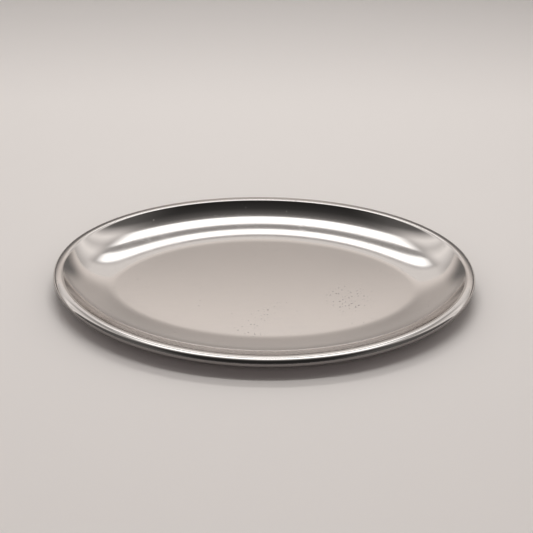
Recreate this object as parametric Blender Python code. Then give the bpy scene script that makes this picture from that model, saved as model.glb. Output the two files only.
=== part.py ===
"""Oval serving tray: one pressed steel sheet whose edge is rolled round a stiffening wire.

Metres, +Z up, +X along the tray. The origin is the middle of the underside of the floor.
"""

import math

import bpy
import numpy as np

# Overall size, over the rolled edge at the middle of each side
trayLength = 0.260
trayWidth = 0.170

# Sheet and wire
sheetThickness = 0.0008
wireDiameter = 0.0036
wireClearance = 0.0003  # between the wire and the inside of the roll

# Section of the sheet, from the edge of the floor outwards
wallWidth = 0.0380  # edge of the floor to the outermost point, the same all round
heelRadius = 0.0430  # bend from the floor into the dish
heelSlope = 8.3  # slope where the heel ends, degrees
dishRadius = 0.0710  # shallow part of the dish
dishSlope = 18.8  # slope where the shallow part ends, degrees
wallSlope = 41.0  # steepest slope, where the wall meets the shoulder, degrees
shoulderRadius = 0.0030  # bend from the wall over to the lip
lipRadius = 0.0075  # gentle fall of the lip towards the roll
lipSlope = 20.0  # slope of the lip where the roll starts, degrees
rollTurn = 246.0  # slope of the sheet where the roll ends, degrees
tipRise = 0.0025  # how much higher the edge is at the two ends than at the sides

# Facets
stepsRound = 72
stepsHeel = 2
stepsDish = 3
stepsWall = 6
stepsShoulder = 4
stepsLip = 2
stepsRoll = 12
stepsWire = 10

# Sizes that follow
rollRadius = wireDiameter / 2 + wireClearance + sheetThickness
sinHeel, sinDish, sinWall, sinLip = np.sin(np.radians([heelSlope, dishSlope, wallSlope, lipSlope]))
dishReach = heelRadius * sinHeel + dishRadius * (sinDish - sinHeel)
edgeReach = shoulderRadius * sinWall + lipRadius * sinLip + rollRadius * (1 - sinLip)
wallRadius = (wallWidth - dishReach - edgeReach) / (sinWall - sinDish)


def sheetSection():
    """Top and underside of the sheet, as rows of inset, height and share of tipRise.

    The top follows tangent arcs. The underside is the same path moved in by the thickness of the sheet.
    """
    arcs = (
        (0.0, heelSlope, heelRadius, stepsHeel),
        (heelSlope, dishSlope, dishRadius, stepsDish),
        (dishSlope, wallSlope, wallRadius, stepsWall),
        (wallSlope, 0.0, shoulderRadius, stepsShoulder),
        (0.0, -lipSlope, lipRadius, stepsLip),
        (-lipSlope, -rollTurn, rollRadius, stepsRoll),
    )
    path = [(0.0, sheetThickness, 0.0)]
    for start, end, radius, steps in arcs:
        turn = math.radians(end - start) / steps
        chord = 2 * radius * math.sin(abs(turn) / 2)
        for _ in range(steps):
            out, height, slope = path[-1]
            middle = slope + turn / 2
            path.append((out + chord * math.cos(middle), height + chord * math.sin(middle), slope + turn))
    out, height, slope = np.array(path).T
    share = (height - sheetThickness) / (height.max() - sheetThickness)
    share[height.argmax() :] = 1.0
    inset = wallWidth - out
    top = np.stack([inset, height, share], axis=1)
    inwards = np.stack([np.sin(slope), np.cos(slope), np.zeros_like(slope)], axis=1)
    return top, top - sheetThickness * inwards


def aroundTray(section):
    """Points of a section carried round the outer ellipse, each row stepped in along the ellipse's normal."""
    around = np.linspace(0, 2 * math.pi, stepsRound, endpoint=False)[:, None]
    halfLength, halfWidth = trayLength / 2, trayWidth / 2
    normalX, normalY = halfWidth * np.cos(around), halfLength * np.sin(around)
    size = np.hypot(normalX, normalY)
    inset, height, share = section.T
    x = halfLength * np.cos(around) - inset * normalX / size
    y = halfWidth * np.sin(around) - inset * normalY / size
    z = height + share * tipRise * np.cos(around) ** 2
    return np.stack([x, y, z], axis=2).reshape(-1, 3)


def gridFaces(rings, closed):
    """Faces between neighbouring rings of aroundTray's points. closed joins the last ring to the first."""
    faces = []
    for i in range(stepsRound):
        here, there = i * rings, (i + 1) % stepsRound * rings
        for k in range(rings if closed else rings - 1):
            n = (k + 1) % rings
            faces.append((here + n, there + n, there + k, here + k))
    return faces


def addNode(name, points, faces, colour, roughness):
    mesh = bpy.data.meshes.new(name)
    mesh.from_pydata(points.tolist(), [], faces)
    mesh.polygons.foreach_set("use_smooth", [True] * len(faces))
    node = bpy.data.objects.new(name, mesh)
    bpy.context.scene.collection.objects.link(node)
    material = bpy.data.materials.new(name)
    material.use_nodes = True
    shader = material.node_tree.nodes["Principled BSDF"]
    shader.inputs["Base Color"].default_value = (*colour, 1.0)
    shader.inputs["Metallic"].default_value = 1.0
    shader.inputs["Roughness"].default_value = roughness
    mesh.materials.append(material)


def buildShell():
    top, under = sheetSection()
    section = np.concatenate([top, under[::-1]])
    rings = len(section)
    floorTop = tuple(i * rings for i in range(stepsRound))
    floorUnder = tuple(i * rings + rings - 1 for i in reversed(range(stepsRound)))
    faces = gridFaces(rings, closed=False) + [floorTop, floorUnder]
    addNode("tray_shell", aroundTray(section), faces, (0.60, 0.59, 0.57), 0.22)


def buildWire():
    top, _ = sheetSection()
    rollStart = top[-1 - stepsRoll]
    angle = np.linspace(0, 2 * math.pi, stepsWire, endpoint=False)
    section = np.stack(
        [
            rollRadius + wireDiameter / 2 * np.cos(angle),
            rollStart[1] - rollRadius * math.cos(math.radians(lipSlope)) + wireDiameter / 2 * np.sin(angle),
            np.ones(stepsWire),
        ],
        axis=1,
    )
    addNode("rim_wire", aroundTray(section), gridFaces(stepsWire, closed=True), (0.45, 0.45, 0.45), 0.35)


for old in list(bpy.data.objects):
    bpy.data.objects.remove(old, do_unlink=True)

buildShell()
buildWire()
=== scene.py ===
# Oval serving tray: a polished sheet with a rolled edge, the wire inside the roll, and a plain studio.
import math

import bpy
import numpy as np
from mathutils import Matrix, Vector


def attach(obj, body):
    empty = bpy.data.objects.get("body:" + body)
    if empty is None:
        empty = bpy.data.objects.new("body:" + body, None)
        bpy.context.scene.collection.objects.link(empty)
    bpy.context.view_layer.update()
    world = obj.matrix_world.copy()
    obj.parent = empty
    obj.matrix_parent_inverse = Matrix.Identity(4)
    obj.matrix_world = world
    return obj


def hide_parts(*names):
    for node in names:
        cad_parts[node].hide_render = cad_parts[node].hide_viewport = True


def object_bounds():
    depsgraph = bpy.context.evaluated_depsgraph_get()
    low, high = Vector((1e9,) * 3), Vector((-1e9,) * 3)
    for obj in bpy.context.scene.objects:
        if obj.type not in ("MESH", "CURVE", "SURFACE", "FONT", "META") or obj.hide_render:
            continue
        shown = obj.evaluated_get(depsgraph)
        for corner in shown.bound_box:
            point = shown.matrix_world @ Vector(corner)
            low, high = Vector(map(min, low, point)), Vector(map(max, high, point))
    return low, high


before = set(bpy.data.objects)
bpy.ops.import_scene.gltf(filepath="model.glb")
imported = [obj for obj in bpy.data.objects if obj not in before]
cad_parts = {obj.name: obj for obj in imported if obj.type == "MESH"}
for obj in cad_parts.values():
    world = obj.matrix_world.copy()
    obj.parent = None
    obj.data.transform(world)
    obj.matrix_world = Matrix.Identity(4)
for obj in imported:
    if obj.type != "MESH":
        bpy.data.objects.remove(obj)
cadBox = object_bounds()

# metres and degrees; the section runs from the edge of the floor out to the end of the roll
traySheet = {
    "thickness": 0.0008,
    "wallWidth": 0.0380,       # edge of the floor to the outermost point
    "heelRadius": 0.0430,      # floor into dish
    "heelSlope": 8.3,
    "dishRadius": 0.0710,
    "dishSlope": 18.8,
    "wallSlope": 41.0,         # steepest
    "shoulderRadius": 0.0030,
    "lipRadius": 0.0075,
    "lipSlope": 20.0,
    "rollTurn": 246.0,
    "tipRise": 0.0025,         # the edge is this much higher at the two ends
    "floorRings": 8,
    "stepsRound": 400,
    "arcSteps": (8, 10, 36, 16, 5, 36),     # heel, dish, wall, shoulder, lip, roll
    "edgeSteps": 6,
}
rimWire = {
    "diameter": 0.0036,
    "clearance": 0.0003,
    "stepsRound": 420,
    "stepsSection": 28,
}


# Walks along arcs that meet without a kink. Each arc is (slope at its start, slope at its end, radius,
# steps). Every step is a chord whose slope is the mean of the slopes at its two ends, and whose length is
# twice the radius times the sine of half the turn. Returns distance out, height, slope.
def arcWalk(arcs, startHeight):
    slopes = [np.radians(np.linspace(a, b, n + 1)[1:]) for a, b, r, n in arcs]
    chords = [np.full(n, 2 * r * math.sin(math.radians(abs(b - a)) / n / 2)) for a, b, r, n in arcs]
    slope = np.concatenate([[0.0]] + slopes)
    chord = np.concatenate(chords)
    middle = (slope[1:] + slope[:-1]) / 2
    out = np.concatenate([[0.0], np.cumsum(chord * np.cos(middle))])
    height = startHeight + np.concatenate([[0.0], np.cumsum(chord * np.sin(middle))])
    return out, height, slope


# Outer radius of the roll: half the wire, the gap round it and the sheet itself.
def rollRadius():
    return rimWire["diameter"] / 2 + rimWire["clearance"] + traySheet["thickness"]


# The top face of the sheet as inset from the outermost point, height, slope and share of the tip rise.
# The radius of the upper wall is what is left of the wall's width after the other arcs.
def sheetSection():
    s = traySheet
    slopes = [s[name] for name in ("heelSlope", "dishSlope", "wallSlope", "lipSlope")]
    heel, dish, wall, lip = np.sin(np.radians(slopes))
    used = s["heelRadius"] * heel + s["dishRadius"] * (dish - heel)
    used += s["shoulderRadius"] * wall + s["lipRadius"] * lip + rollRadius() * (1 - lip)
    wallRadius = (s["wallWidth"] - used) / (wall - dish)
    steps = s["arcSteps"]
    arcs = (
        (0.0, s["heelSlope"], s["heelRadius"], steps[0]),
        (s["heelSlope"], s["dishSlope"], s["dishRadius"], steps[1]),
        (s["dishSlope"], s["wallSlope"], wallRadius, steps[2]),
        (s["wallSlope"], 0.0, s["shoulderRadius"], steps[3]),
        (0.0, -s["lipSlope"], s["lipRadius"], steps[4]),
        (-s["lipSlope"], -s["rollTurn"], rollRadius(), steps[5]),
    )
    out, height, slope = arcWalk(arcs, s["thickness"])
    share = (height - s["thickness"]) / (height.max() - s["thickness"])
    share[height.argmax():] = 1.0
    return s["wallWidth"] - out, height, slope, share


# Carries a section round the outer ellipse: each point steps in from the ellipse along its normal by its
# inset, and rises by its share of the tip rise times the squared cosine of the angle round. The grid is
# around by section.
def carryRound(inset, height, share, steps):
    low, high = cadBox
    halfLength, halfWidth = (high[0] - low[0]) / 2, (high[1] - low[1]) / 2
    angle = np.linspace(0, 2 * math.pi, steps, endpoint=False)[:, None]
    normalX, normalY = halfWidth * np.cos(angle), halfLength * np.sin(angle)
    size = np.hypot(normalX, normalY)
    x = halfLength * np.cos(angle) - inset * normalX / size
    y = halfWidth * np.sin(angle) - inset * normalY / size
    z = height + share * traySheet["tipRise"] * np.cos(angle) ** 2
    return np.stack([x, y, z + 0 * x], axis=2)


# Quads between neighbouring columns of a grid that closes on itself round the tray.
def gridQuads(around, rings, closed):
    i = np.arange(around)[:, None]
    k = np.arange(rings if closed else rings - 1)[None, :]
    here, there = i * rings, (i + 1) % around * rings
    n = (k + 1) % rings
    return np.stack([here + n, there + n, there + k, here + k], axis=2).reshape(-1, 4)


# Stores one number or one vector per point under a name the finishes read.
def markPoints(piece, name, values):
    kind, field = ("FLOAT", "value") if values.ndim == 1 else ("FLOAT_VECTOR", "vector")
    layer = piece.data.attributes.new(name, kind, "POINT")
    layer.data.foreach_set(field, values.astype(np.float32).ravel())


# Makes a mesh object at the origin from points, quads and triangles, all shaded smooth.
def newPiece(name, points, quads, triangles=()):
    mesh = bpy.data.meshes.new(name)
    mesh.from_pydata(points.tolist(), [], quads.tolist() + [list(t) for t in triangles])
    mesh.polygons.foreach_set("use_smooth", np.ones(len(mesh.polygons), bool))
    mesh.update()
    piece = bpy.data.objects.new(name, mesh)
    bpy.context.scene.collection.objects.link(piece)
    return piece


# Half circle over the cut edge of the sheet at the end of the roll: the middle of the edge plus half the
# thickness times the cosine across the sheet and the sine along it, from the top face to the underside.
def edgeRound(inset, height, slope, thickness, steps):
    turn = np.linspace(0, math.pi, steps + 2)[1:-1]
    middleInset = inset - thickness / 2 * math.sin(slope)
    middleHeight = height - thickness / 2 * math.cos(slope)
    across = thickness / 2 * np.cos(turn)
    along = thickness / 2 * np.sin(turn)
    return (
        middleInset + across * math.sin(slope) - along * math.cos(slope),
        middleHeight + across * math.cos(slope) + along * math.sin(slope),
    )


# The whole sheet as one closed surface: middle of the floor, floor rings, wall, lip, roll, cut edge, then
# back along the underside, which is the top face moved by the thickness along its normal. Floor rings are
# the floor's edge drawn in towards the middle in even shares.
def makeSheet():
    s = traySheet
    inset, height, slope, share = sheetSection()
    underInset = inset - s["thickness"] * np.sin(slope)
    underHeight = height - s["thickness"] * np.cos(slope)
    roundInset, roundHeight = edgeRound(inset[-1], height[-1], slope[-1], s["thickness"], s["edgeSteps"])
    wall = carryRound(
        np.concatenate([inset, roundInset, underInset[::-1]]),
        np.concatenate([height, roundHeight, underHeight[::-1]]),
        np.concatenate([share, np.ones(len(roundInset)), share[::-1]]),
        s["stepsRound"],
    )
    part = np.linspace(0, 1, s["floorRings"] + 1)[1:-1]
    flat = np.array([1, 1, 0])
    top = wall[:, :1] * (part[None, :, None] * flat) + wall[:, :1] * (1 - flat)
    under = wall[:, -1:] * (part[None, ::-1, None] * flat) + wall[:, -1:] * (1 - flat)
    grid = np.concatenate([top, wall, under], axis=1)
    around, rings = grid.shape[:2]
    points = np.concatenate([grid.reshape(-1, 3), [[0, 0, height[0]], [0, 0, underHeight[0]]]])
    i = np.arange(around)
    after = (i + 1) % around
    middle = np.full(around, around * rings)
    topFan = np.stack([i * rings, after * rings, middle], axis=1)
    underFan = np.stack([after * rings + rings - 1, i * rings + rings - 1, middle + 1], axis=1)
    fans = np.concatenate([topFan, underFan]).tolist()
    piece = newPiece("pressed_sheet", points, gridQuads(around, rings, False), fans)

    # how far each point faces up: the cosine of the slope on the top face, and its negative underneath
    floorUp, edgeUp = np.ones(len(part)), np.zeros(len(roundInset))
    upward = np.concatenate([floorUp, np.cos(slope), edgeUp, -np.cos(slope[::-1]), -floorUp])
    markPoints(piece, "upward", np.concatenate([np.tile(upward, around), [1.0, -1.0]]))

    # the place round the oval as a cosine and a sine, and the inset in wall widths: 0 at the rim, 1 at the
    # floor's edge, 2 in the middle
    depth = np.concatenate([inset, roundInset, underInset[::-1]]) / s["wallWidth"]
    depth = np.concatenate([2 - part, depth, 1 + part])
    angle = np.linspace(0, 2 * math.pi, around, endpoint=False)[:, None] + 0 * depth
    oval = np.stack([np.cos(angle), np.sin(angle), depth + 0 * angle], axis=2).reshape(-1, 3)
    markPoints(piece, "ovalPlace", np.concatenate([oval, [[0, 0, 2], [0, 0, 2]]]))
    return piece


# The wire: a circle carried round at the centre of the roll, which is the roll's radius in from the roll's
# outermost point, and the radius times the cosine of the lip's slope below the place where the roll starts.
def makeWire():
    w = rimWire
    inset, height, slope, share = sheetSection()
    rollStart = height[-traySheet["arcSteps"][-1] - 1]
    centre = rollStart - rollRadius() * math.cos(math.radians(traySheet["lipSlope"]))
    angle = np.linspace(0, 2 * math.pi, w["stepsSection"], endpoint=False)
    grid = carryRound(
        rollRadius() + w["diameter"] / 2 * np.cos(angle),
        centre + w["diameter"] / 2 * np.sin(angle),
        np.ones(w["stepsSection"]),
        w["stepsRound"],
    )
    quads = gridQuads(w["stepsRound"], w["stepsSection"], True)
    piece = newPiece("stiffening_wire", grid.reshape(-1, 3), quads)
    # the place round the wire's own section, the same all along it
    section = np.stack([np.cos(angle), np.sin(angle), np.zeros(w["stepsSection"])], axis=1)
    markPoints(piece, "sectionPlace", np.tile(section, (w["stepsRound"], 1)))
    return piece


# Adds a shader node and sets its own settings.
def addNode(tree, kind, **settings):
    node = tree.nodes.new(kind)
    for key, value in settings.items():
        setattr(node, key, value)
    return node


# One sum on sockets or numbers.
def mathNode(tree, operation, first, second=0.0, third=0.0, clamp=False):
    node = addNode(tree, "ShaderNodeMath", operation=operation, use_clamp=clamp)
    for socket, value in zip(node.inputs, (first, second, third)):
        if isinstance(value, bpy.types.NodeSocket):
            tree.links.new(value, socket)
        else:
            socket.default_value = value
    return node.outputs[0]


# Colours along a number from 0 to 1: stops are (number, colour).
def rampNode(tree, factor, stops):
    node = addNode(tree, "ShaderNodeValToRGB")
    ramp = node.color_ramp
    while len(ramp.elements) < len(stops):
        ramp.elements.new(0.5)
    for element, (place, colour) in zip(ramp.elements, stops):
        element.position = place
        element.color = (*colour, 1.0)
    tree.links.new(factor, node.inputs[0])
    return node.outputs[0]


def noiseNode(tree, vector, scale, detail=2.0, roughness=0.5, distortion=0.0):
    node = addNode(tree, "ShaderNodeTexNoise")
    tree.links.new(vector, node.inputs["Vector"])
    node.inputs["Scale"].default_value = scale
    node.inputs["Detail"].default_value = detail
    node.inputs["Roughness"].default_value = roughness
    node.inputs["Distortion"].default_value = distortion
    return node.outputs["Fac"]


def splitPlace(tree, vector):
    node = addNode(tree, "ShaderNodeSeparateXYZ")
    tree.links.new(vector, node.inputs[0])
    return node.outputs


print("shapes: sheet and wire")
sheet = makeSheet()
wire = makeWire()
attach(sheet, "root")
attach(wire, "root")
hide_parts("tray_shell")
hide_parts("rim_wire")


trayFinish = {
    "colour": (0.66, 0.625, 0.60),
    "roughness": 0.078,
    "floorLines": (60, 1000, 1000),     # polishing lines per metre, along and across
    "wallLines": (6, 6, 46),            # the same round the oval, and down one width of the wall
    "lineRoughness": 0.022,             # what the polishing lines add
    "lineTint": 0.06,
    "smudgeSize": 28.0,
    "smudgeRoughness": 0.035,           # what handling adds
    "scratches": (30, 120, 120),
    "scratchRoughness": 0.10,
    "pitColour": (0.24, 0.205, 0.185),
    "pitStrength": 0.8,
    "pitRoughness": 0.25,
    "closePits": {"Cells": 520.0, "Share": 0.32, "Radius": 0.32},
    "strayPits": {"Cells": 150.0, "Share": 0.13, "Radius": 0.055},
    # patches with many pits: centre, half length, half width and turn in degrees
    "pitPatches": (
        (-0.004, -0.031, 0.022, 0.006, 50),
        (0.052, -0.011, 0.015, 0.016, 20),
        (-0.012, -0.046, 0.012, 0.006, 0),
    ),
    # painted shade: the colour the metal turns to where it faces down, in place of the dark room and shadow
    # it would mirror there
    "paintedUndersideShade": (0.23, 0.215, 0.21),
    "unpolishedRoughness": 0.20,        # underneath, where the polishing wheel does not reach
    "matteAndShadeFrom": (0.57, 0.21),     # how far up the metal faces where the rougher underside with its painted shade starts, and where it is whole
    "lineHeight": 0.04,                 # heights of the marks, in bump depths
    "scratchHeight": -0.15,
    "pitHeight": -3.0,
    "bumpDepth": 0.00002,
}
wireFinish = {
    "colour": (0.47, 0.455, 0.44),
    "roughness": 0.34,
    "lines": (7, 7, 7),                 # drawing lines round the wire's own section
    "lineRoughness": 0.16,
    "stainSize": 70.0,
    "stainColour": (0.31, 0.27, 0.235),
    "stainStrength": 0.45,
    "stainRoughness": 0.15,
    "pits": {"Cells": 900.0, "Share": 0.2, "Radius": 0.2},
    "pitStrength": 0.5,
    "bumpDepth": 0.00003,
}


# Starts a node group with named inputs (name, kind, value) and outputs, all of them plain numbers.
def newGroup(name, inputs, outputs):
    group = bpy.data.node_groups.new(name, "ShaderNodeTree")
    for label, kind, value in inputs:
        socket = group.interface.new_socket(label, in_out="INPUT", socket_type="NodeSocket" + kind)
        if value is not None:
            socket.default_value = value
    for label in outputs:
        group.interface.new_socket(label, in_out="OUTPUT", socket_type="NodeSocketFloat")
    return group, addNode(group, "NodeGroupInput").outputs, addNode(group, "NodeGroupOutput").inputs


# Multiplies a vector by another, part by part.
def scaleVector(tree, vector, factor):
    node = addNode(tree, "ShaderNodeVectorMath", operation="MULTIPLY")
    tree.links.new(vector, node.inputs[0])
    if isinstance(factor, bpy.types.NodeSocket):
        tree.links.new(factor, node.inputs[1])
    else:
        node.inputs[1].default_value = factor
    return node.outputs[0]


# Maps a value from one range onto 0 to 1 with soft ends.
def softStep(tree, value, low, high):
    step = addNode(tree, "ShaderNodeMapRange", interpolation_type="SMOOTHSTEP")
    tree.links.new(value, step.inputs["Value"])
    step.inputs["From Min"].default_value = low
    step.inputs["From Max"].default_value = high
    return step.outputs[0]


# Lines left by polishing or drawing: noise squeezed along one direction, as the mean of a coarse and a fine
# layer, spread to run from 0 to 1.
def makeLines():
    inputs = (("Vector", "Vector", None), ("Squeeze", "Vector", (60, 900, 900)))
    group, given, result = newGroup("polishLines", inputs, ("Lines",))
    squeezed = scaleVector(group, given["Vector"], given["Squeeze"])
    coarse = noiseNode(group, squeezed, 1.0, 3.0, 0.6)
    fine = noiseNode(group, scaleVector(group, squeezed, (0.7, 3.3, 3.3)), 1.0, 2.0, 0.5)
    both = mathNode(group, "MULTIPLY", mathNode(group, "ADD", coarse, fine), 0.5)
    group.links.new(softStep(group, both, 0.34, 0.66), result["Lines"])
    return group


# Smudges from hands and cloths: wide warped noise kept only where it is high, times a finer layer.
def makeSmudges():
    inputs = (("Vector", "Vector", None), ("Size", "Float", 30.0))
    group, given, result = newGroup("handMarks", inputs, ("Marks",))
    wide = addNode(group, "ShaderNodeTexNoise")
    group.links.new(given["Vector"], wide.inputs["Vector"])
    group.links.new(given["Size"], wide.inputs["Scale"])
    wide.inputs["Detail"].default_value = 4.0
    wide.inputs["Distortion"].default_value = 0.8
    broken = noiseNode(group, given["Vector"], 260.0, 3.0, 0.6)
    kept = softStep(group, wide.outputs["Fac"], 0.46, 0.70)
    marks = mathNode(group, "MULTIPLY", kept, softStep(group, broken, 0.25, 0.65))
    group.links.new(marks, result["Marks"])
    return group


# Pin pits: round dots at the middle of cells, only in the share of cells whose own random number is low
# enough. Depth is the square root of 1 minus the distance over the dot's size.
def makePits():
    inputs = (
        ("Vector", "Vector", None),
        ("Cells", "Float", 1400.0),
        ("Share", "Float", 0.3),
        ("Radius", "Float", 0.24),
    )
    group, given, result = newGroup("pinPits", inputs, ("Pits",))
    cells = addNode(group, "ShaderNodeTexVoronoi", voronoi_dimensions="2D")
    group.links.new(given["Vector"], cells.inputs["Vector"])
    group.links.new(given["Cells"], cells.inputs["Scale"])
    chance = addNode(group, "ShaderNodeSeparateColor")
    group.links.new(cells.outputs["Color"], chance.inputs[0])
    chosen = mathNode(group, "LESS_THAN", chance.outputs[0], given["Share"])
    spread = mathNode(group, "MULTIPLY_ADD", chance.outputs[1], 0.7, 0.3)
    size = mathNode(group, "MULTIPLY", given["Radius"], spread)
    reach = mathNode(group, "DIVIDE", cells.outputs["Distance"], size)
    depth = mathNode(group, "SUBTRACT", 1.0, reach, clamp=True)
    group.links.new(mathNode(group, "MULTIPLY", chosen, mathNode(group, "SQRT", depth)), result["Pits"])
    return group


# Hair scratches: thin lines where stretched noise crosses its middle value, in places picked by a wider
# noise. A line is 1 minus its sharpness times the distance from the middle value.
def makeScratches():
    inputs = (("Vector", "Vector", None), ("Squeeze", "Vector", (35, 130, 130)))
    group, given, result = newGroup("hairScratches", inputs, ("Scratches",))
    squeezed = scaleVector(group, given["Vector"], given["Squeeze"])
    stretched = noiseNode(group, squeezed, 1.0, 1.0, 0.4, 1.5)
    drift = mathNode(group, "ABSOLUTE", mathNode(group, "SUBTRACT", stretched, 0.5))
    line = mathNode(group, "SUBTRACT", 1.0, mathNode(group, "MULTIPLY", drift, 260.0), clamp=True)
    where = softStep(group, noiseNode(group, given["Vector"], 55.0, 1.0), 0.52, 0.66)
    group.links.new(mathNode(group, "MULTIPLY", line, where), result["Scratches"])
    return group


groups = {
    "lines": makeLines(),
    "smudges": makeSmudges(),
    "pits": makePits(),
    "scratches": makeScratches(),
}


# Uses a node group in a finish: sockets are linked, numbers are set on its inputs.
def useGroup(tree, name, vector, **values):
    node = addNode(tree, "ShaderNodeGroup", node_tree=groups[name])
    tree.links.new(vector, node.inputs["Vector"])
    for label, value in values.items():
        node.inputs[label].default_value = value
    return node.outputs[0]


# Mixes two colours, each a socket or plain numbers, by an amount.
def mixColour(tree, amount, first, second):
    mix = addNode(tree, "ShaderNodeMix", data_type="RGBA")
    tree.links.new(amount, mix.inputs["Factor"])
    for socket, colour in ((mix.inputs["A"], first), (mix.inputs["B"], second)):
        if isinstance(colour, bpy.types.NodeSocket):
            tree.links.new(colour, socket)
        else:
            socket.default_value = (*colour, 1.0)
    return mix.outputs["Result"]


# An oval patch: 1 inside and 0 outside, by the length of the turned and scaled distance from its centre.
def patchMask(tree, vector, patch):
    x, y, halfLength, halfWidth, turn = patch
    place = addNode(tree, "ShaderNodeMapping", vector_type="TEXTURE")
    tree.links.new(vector, place.inputs["Vector"])
    place.inputs["Location"].default_value = (x, y, 0)
    place.inputs["Rotation"].default_value = (0, 0, math.radians(turn))
    place.inputs["Scale"].default_value = (halfLength, halfWidth, 1.0)
    reach = addNode(tree, "ShaderNodeVectorMath", operation="LENGTH")
    tree.links.new(place.outputs[0], reach.inputs[0])
    return softStep(tree, reach.outputs["Value"], 1.15, 0.35)


# Starts a metal finish. Returns the material, its tree, its shader and the place on the piece.
def newFinish(name):
    material = bpy.data.materials.new(name)
    material.use_nodes = True
    tree = material.node_tree
    shader = tree.nodes["Principled BSDF"]
    shader.inputs["Metallic"].default_value = 1.0
    place = addNode(tree, "ShaderNodeTexCoord").outputs["Object"]
    return material, tree, shader, place


def addBump(tree, shader, height, depth):
    bump = addNode(tree, "ShaderNodeBump")
    bump.inputs["Strength"].default_value = 1.0
    bump.inputs["Distance"].default_value = depth
    tree.links.new(height, bump.inputs["Height"])
    tree.links.new(bump.outputs[0], shader.inputs["Normal"])


# Polished sheet: lines, smudges, scratches and pits on top, turning to a rougher, unpolished face
# underneath whose base colour is darkened as painted shade.
def makeTrayFinish():
    f = trayFinish
    material, tree, shader, place = newFinish("polishedTraySteel")
    upward = addNode(tree, "ShaderNodeAttribute", attribute_name="upward").outputs["Fac"]
    # how much of the rougher underside there is; the same amount also sets the painted shade in the colour
    matteAndShadeBelow = softStep(tree, upward, *f["matteAndShadeFrom"])
    # polishing lines run along the floor, and round the oval on the wall and the rim
    oval = addNode(tree, "ShaderNodeAttribute", attribute_name="ovalPlace").outputs["Vector"]
    mixLines = addNode(tree, "ShaderNodeMix")
    tree.links.new(softStep(tree, splitPlace(tree, oval)[2], 1.05, 0.90), mixLines.inputs["Factor"])
    tree.links.new(useGroup(tree, "lines", place, Squeeze=f["floorLines"]), mixLines.inputs["A"])
    tree.links.new(useGroup(tree, "lines", oval, Squeeze=f["wallLines"]), mixLines.inputs["B"])
    lines = mixLines.outputs["Result"]
    smudges = useGroup(tree, "smudges", place, Size=f["smudgeSize"])
    scratches = useGroup(tree, "scratches", place, Squeeze=f["scratches"])
    patches = patchMask(tree, place, f["pitPatches"][0])
    for patch in f["pitPatches"][1:]:
        patches = mathNode(tree, "MAXIMUM", patches, patchMask(tree, place, patch))
    close = mathNode(tree, "MULTIPLY", useGroup(tree, "pits", place, **f["closePits"]), patches)
    pits = mathNode(tree, "MAXIMUM", close, useGroup(tree, "pits", place, **f["strayPits"]))

    rough = mathNode(tree, "MULTIPLY_ADD", lines, f["lineRoughness"], f["roughness"])
    rough = mathNode(tree, "MULTIPLY_ADD", smudges, f["smudgeRoughness"], rough)
    rough = mathNode(tree, "MULTIPLY_ADD", scratches, f["scratchRoughness"], rough)
    rough = mathNode(tree, "MULTIPLY_ADD", pits, f["pitRoughness"], rough)
    rough = mathNode(tree, "MULTIPLY_ADD", matteAndShadeBelow, f["unpolishedRoughness"], rough)
    tree.links.new(rough, shader.inputs["Roughness"])

    darker = tuple(0.8 * c for c in f["colour"])
    colour = mixColour(tree, mathNode(tree, "MULTIPLY", lines, f["lineTint"]), f["colour"], darker)
    colour = mixColour(tree, mathNode(tree, "MULTIPLY", pits, f["pitStrength"]), colour, f["pitColour"])
    # painted shade: where the metal faces down, the base colour turns dark
    colour = mixColour(tree, matteAndShadeBelow, colour, f["paintedUndersideShade"])
    tree.links.new(colour, shader.inputs["Base Color"])

    height = mathNode(tree, "MULTIPLY", lines, f["lineHeight"])
    height = mathNode(tree, "MULTIPLY_ADD", pits, f["pitHeight"], height)
    height = mathNode(tree, "MULTIPLY_ADD", scratches, f["scratchHeight"], height)
    addBump(tree, shader, height, f["bumpDepth"])
    return material


# Drawn wire: lines that run along it, darker stains and scattered pits.
def makeWireFinish():
    f = wireFinish
    material, tree, shader, place = newFinish("drawnWireSteel")
    section = addNode(tree, "ShaderNodeAttribute", attribute_name="sectionPlace").outputs["Vector"]
    lines = useGroup(tree, "lines", section, Squeeze=f["lines"])
    stains = useGroup(tree, "smudges", place, Size=f["stainSize"])
    pits = useGroup(tree, "pits", place, **f["pits"])
    rough = mathNode(tree, "MULTIPLY_ADD", lines, f["lineRoughness"], f["roughness"])
    rough = mathNode(tree, "MULTIPLY_ADD", stains, f["stainRoughness"], rough)
    tree.links.new(rough, shader.inputs["Roughness"])
    stained = mathNode(tree, "MULTIPLY", stains, f["stainStrength"])
    colour = mixColour(tree, stained, f["colour"], f["stainColour"])
    pitted = mathNode(tree, "MULTIPLY", pits, f["pitStrength"])
    tree.links.new(mixColour(tree, pitted, colour, f["stainColour"]), shader.inputs["Base Color"])
    addBump(tree, shader, mathNode(tree, "MULTIPLY_ADD", pits, -1.0, lines), f["bumpDepth"])
    return material


print("finishes: tray and wire")
sheet.data.materials.append(makeTrayFinish())
wire.data.materials.append(makeWireFinish())


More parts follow.
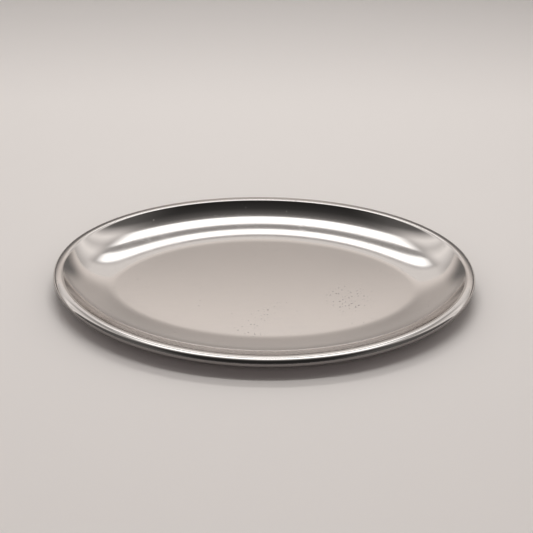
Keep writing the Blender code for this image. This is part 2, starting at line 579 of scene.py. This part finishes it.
studio = {
    "boxHeight": 1.0,
    "boxLength": 0.70,
    "boxes": ((0.572, 0.738), (0.176, 0.428)),  # near and far edge of each, behind the tray's middle
    "boxBrightness": 2.1,
    "boxSoftness": (0.24, 0.034),               # how far its ends and its long edges fade
    # place, width and brightness of the tubes that light the paper
    "tubes": ((0.705, 0.06, 29.0), (0.155, 0.06, 22.2)),
    # wide soft light from the front, for the shadow
    "fill": 0.42,
    "fillColour": (1.0, 0.87, 0.89),
    "fillPlace": (0, -1.6, 1.0),
    "fillSize": (3.0, 1.6),
    "fillTurn": 60.0,
    # dark cards beside the paper, seen only in the steel
    "flagPlace": 0.36,                          # how far behind the middle of the tray
    "flagInner": (0.03, 0.17),                  # where they fade in, to either side
    "flagTop": (0.28, 0.14),                    # where they fade out and where they are whole
    "flagCover": 0.84,
    "flagBrightness": 0.12,
    "flagSize": (0.9, 0.3),                     # half width and height
    "paperWidth": 4.0,
    "paperFront": -1.8,
    "paperBend": 0.22,                          # where the paper starts to curve up
    "paperRadius": 0.30,
    "paperTop": 0.48,
    "paperSteps": (20, 49),                     # points along the flat and along the curve
    "paperColour": (0.80, 0.762, 0.730),
    # height and painted shade (darker higher up), then height and painted glow
    "paperPaintedShade": ((0.0, 1.0), (0.003, 0.98), (0.02, 0.84), (0.10, 0.62)),
    "paperGlow": (
        (0.0, 0.0), (0.03, 0.0), (0.10, 0.31), (0.32, 0.31),
        (0.36, 0.37), (0.43, 0.59), (0.48, 0.68),
    ),
}
roomLight = {
    "colour": (1.0, 0.97, 0.95),
    # degrees over the head from the back horizon, and how bright: along the middle, then at the sides
    "middle": (
        (0, 0.50), (44, 0.93), (51, 0.93), (53.5, 0.42), (64, 0.36), (84, 0.36), (90, 0.15),
        (96, 0.09), (102, 0.045), (115, 0.025), (146, 0.02), (162, 0.05), (180, 0.08),
    ),
    "sides": (
        (0, 0.25), (20, 0.45), (45, 0.60), (62, 1.15), (72, 0.75), (82, 1.15),
        (90, 0.60), (97, 0.15), (115, 0.10), (150, 0.12), (180, 0.16),
    ),
    "turn": (0.30, 0.62),      # how far a direction leans sideways before it counts as the side
}
camera = {
    "lens": 94.56,
    "place": (0.0003, -0.6902, 0.5331),
    "pitch": 36.815,
    "yaw": 0.08,
    "roll": 0.80,
}


# Turns degrees and brightness into places along a ramp and colours.
def roomStops(levels):
    return [(angle / 180, tuple(level * c for c in roomLight["colour"])) for angle, level in levels]


# Room light by direction: the angle over the head is arctan(up / back), and the lean sideways mixes the two
# lists of brightness.
def makeRoom():
    world = bpy.data.worlds.new("studioRoom")
    bpy.context.scene.world = world
    world.use_nodes = True
    tree = world.node_tree
    place = addNode(tree, "ShaderNodeTexCoord")
    side, back, up = splitPlace(tree, place.outputs["Generated"])
    angle = mathNode(tree, "DIVIDE", mathNode(tree, "ARCTAN2", up, back), math.pi, clamp=True)
    middle = rampNode(tree, angle, roomStops(roomLight["middle"]))
    sides = rampNode(tree, angle, roomStops(roomLight["sides"]))
    spread = softStep(tree, mathNode(tree, "ABSOLUTE", side), *roomLight["turn"])
    tree.links.new(mixColour(tree, spread, middle, sides), tree.nodes["Background"].inputs["Color"])


# An area lamp that only the paper sees.
def addLamp(name, place, size, brightness, turn=0.0, colour=(1.0, 1.0, 1.0)):
    lamp = bpy.data.lights.new(name, "AREA")
    lamp.shape = "RECTANGLE"
    lamp.size, lamp.size_y = size
    lamp.energy = brightness * math.pi * size[0] * size[1]
    lamp.color = colour
    body = bpy.data.objects.new(name, lamp)
    body.location = place
    body.rotation_euler = (math.radians(turn), 0, 0)
    body.visible_camera = False
    body.visible_glossy = False
    bpy.context.scene.collection.objects.link(body)


def makeLamps():
    s = studio
    for number, (place, width, brightness) in enumerate(s["tubes"]):
        addLamp(f"tube{number}", (0, place, s["boxHeight"]), (s["boxLength"], width), brightness)
    addLamp("fill", s["fillPlace"], s["fillSize"], s["fill"], s["fillTurn"], s["fillColour"])


# Fades from 1 inside a half size to 0 outside it, over a soft edge.
def softEdge(tree, along, half, soft):
    return softStep(tree, mathNode(tree, "ABSOLUTE", along), half + soft / 2, half - soft / 2)


# A material that glows evenly where its cover is 1 and is clear where it is 0. The cover is worked out by
# the function handed in, from the place on the sheet.
def glowSheet(name, brightness, coverOf):
    material = bpy.data.materials.new(name)
    material.use_nodes = True
    tree = material.node_tree
    tree.nodes.clear()
    place = splitPlace(tree, addNode(tree, "ShaderNodeTexCoord").outputs["Object"])
    glow = addNode(tree, "ShaderNodeEmission")
    glow.inputs["Strength"].default_value = brightness
    mix = addNode(tree, "ShaderNodeMixShader")
    tree.links.new(coverOf(tree, place), mix.inputs[0])
    tree.links.new(addNode(tree, "ShaderNodeBsdfTransparent").outputs[0], mix.inputs[1])
    tree.links.new(glow.outputs[0], mix.inputs[2])
    tree.links.new(mix.outputs[0], addNode(tree, "ShaderNodeOutputMaterial").inputs["Surface"])
    return material


# Stands a sheet in the studio so that only the steel sees it.
def mirrorOnly(piece, material):
    piece.data.materials.append(material)
    piece.visible_camera = False
    piece.visible_diffuse = False
    piece.visible_shadow = False


# The cloth fronts of the softboxes, seen only in the steel: one flat sheet each, fading out at its edges.
def makeBoxes():
    softX, softY = studio["boxSoftness"]
    halfX = studio["boxLength"] / 2
    for number, (near, far) in enumerate(studio["boxes"]):
        halfY, middle = (far - near) / 2, (far + near) / 2
        outX, outY, z = halfX + softX / 2, halfY + softY / 2, studio["boxHeight"] - 0.01
        low, high = middle - outY, middle + outY
        corners = np.array([[outX, low, z], [-outX, low, z], [-outX, high, z], [outX, high, z]])
        box = newPiece(f"studio_box{number}", corners, np.array([[0, 1, 2, 3]]))

        def cover(tree, place):
            across = mathNode(tree, "SUBTRACT", place[1], middle)
            ends, sides = softEdge(tree, place[0], halfX, softX), softEdge(tree, across, halfY, softY)
            return mathNode(tree, "MULTIPLY", ends, sides)

        mirrorOnly(box, glowSheet(f"softboxCloth{number}", studio["boxBrightness"], cover))


# Dark cards that the ends of the tray mirror: one wide upright sheet, clear in the middle and at its top.
def makeFlags():
    y = studio["flagPlace"]
    half, top = studio["flagSize"]
    corners = np.array([[-half, y, 0.002], [half, y, 0.002], [half, y, top], [-half, y, top]])
    card = newPiece("studio_flags", corners, np.array([[0, 1, 2, 3]]))

    def cover(tree, place):
        sideways = softStep(tree, mathNode(tree, "ABSOLUTE", place[0]), *studio["flagInner"])
        both = mathNode(tree, "MULTIPLY", sideways, softStep(tree, place[2], *studio["flagTop"]))
        return mathNode(tree, "MULTIPLY", both, studio["flagCover"])

    mirrorOnly(card, glowSheet("darkCard", studio["flagBrightness"], cover))


# The paper: a strip carried sideways whose profile is flat, then a quarter circle (the bend plus the radius
# times the sine, by the radius times 1 minus the cosine), then straight up.
def makePaper():
    bend, radius = studio["paperBend"], studio["paperRadius"]
    flatSteps, curveSteps = studio["paperSteps"]
    turn = np.linspace(0, math.pi / 2, curveSteps)
    flatY = np.linspace(studio["paperFront"], bend, flatSteps)[:-1]
    y = np.concatenate([flatY, bend + radius * np.sin(turn), [bend + radius]])
    z = np.concatenate([0 * flatY, radius * (1 - np.cos(turn)), [studio["paperTop"]]])
    x = np.full(len(y), studio["paperWidth"] / 2)
    points = np.concatenate([np.stack([-x, y, z], axis=1), np.stack([x, y, z], axis=1)])
    k = np.arange(len(y) - 1)
    n = len(y)
    paper = newPiece("studio_paper", points, np.stack([k, k + n, k + n + 1, k + 1], axis=1))

    material = bpy.data.materials.new("palePaper")
    material.use_nodes = True
    tree = material.node_tree
    shader = tree.nodes["Principled BSDF"]
    height = splitPlace(tree, addNode(tree, "ShaderNodeTexCoord").outputs["Object"])[2]
    colour = np.array(studio["paperColour"])
    # painted shade: the paper's base colour darkens with height, in place of less light reaching it higher
    # up
    paintedPaperShade = rampNode(tree, height, [(h, tuple(colour * k)) for h, k in studio["paperPaintedShade"]])
    # painted light: the paper glows, more so higher up, though it is no lamp
    glow = rampNode(tree, height, [(h, tuple(colour / colour[0] * k)) for h, k in studio["paperGlow"]])
    tree.links.new(paintedPaperShade, shader.inputs["Base Color"])
    tree.links.new(glow, shader.inputs["Emission Color"])
    shader.inputs["Emission Strength"].default_value = 1.0
    shader.inputs["Roughness"].default_value = 0.9
    shader.inputs["Specular IOR Level"].default_value = 0.1

    # from behind, the camera sees through the paper
    behind = addNode(tree, "ShaderNodeNewGeometry").outputs["Backfacing"]
    looking = addNode(tree, "ShaderNodeLightPath").outputs["Is Camera Ray"]
    mix = addNode(tree, "ShaderNodeMixShader")
    tree.links.new(mathNode(tree, "MULTIPLY", behind, looking), mix.inputs[0])
    tree.links.new(shader.outputs[0], mix.inputs[1])
    tree.links.new(addNode(tree, "ShaderNodeBsdfTransparent").outputs[0], mix.inputs[2])
    tree.links.new(mix.outputs[0], tree.nodes["Material Output"].inputs["Surface"])
    paper.data.materials.append(material)


# The camera looks along the tray's width from the front: turned about the upright by the yaw, tipped down
# by the pitch, then rolled about its own line of sight.
def makeCamera():
    eye = bpy.data.cameras.new("camera")
    eye.lens = camera["lens"]
    eye.sensor_width = 36.0
    eye.clip_start = 0.01
    body = bpy.data.objects.new("camera", eye)
    body.location = camera["place"]
    pitch, yaw, roll = (math.radians(camera[name]) for name in ("pitch", "yaw", "roll"))
    turn = Matrix.Rotation(-yaw, 3, "Z") @ Matrix.Rotation(math.pi / 2 - pitch, 3, "X")
    body.rotation_euler = (turn @ Matrix.Rotation(roll, 3, "Z")).to_euler()
    bpy.context.scene.collection.objects.link(body)
    bpy.context.scene.camera = body


print("studio")
makeRoom()
makeLamps()
makeBoxes()
makeFlags()
makePaper()
makeCamera()
bpy.context.scene.view_settings.view_transform = "Standard"
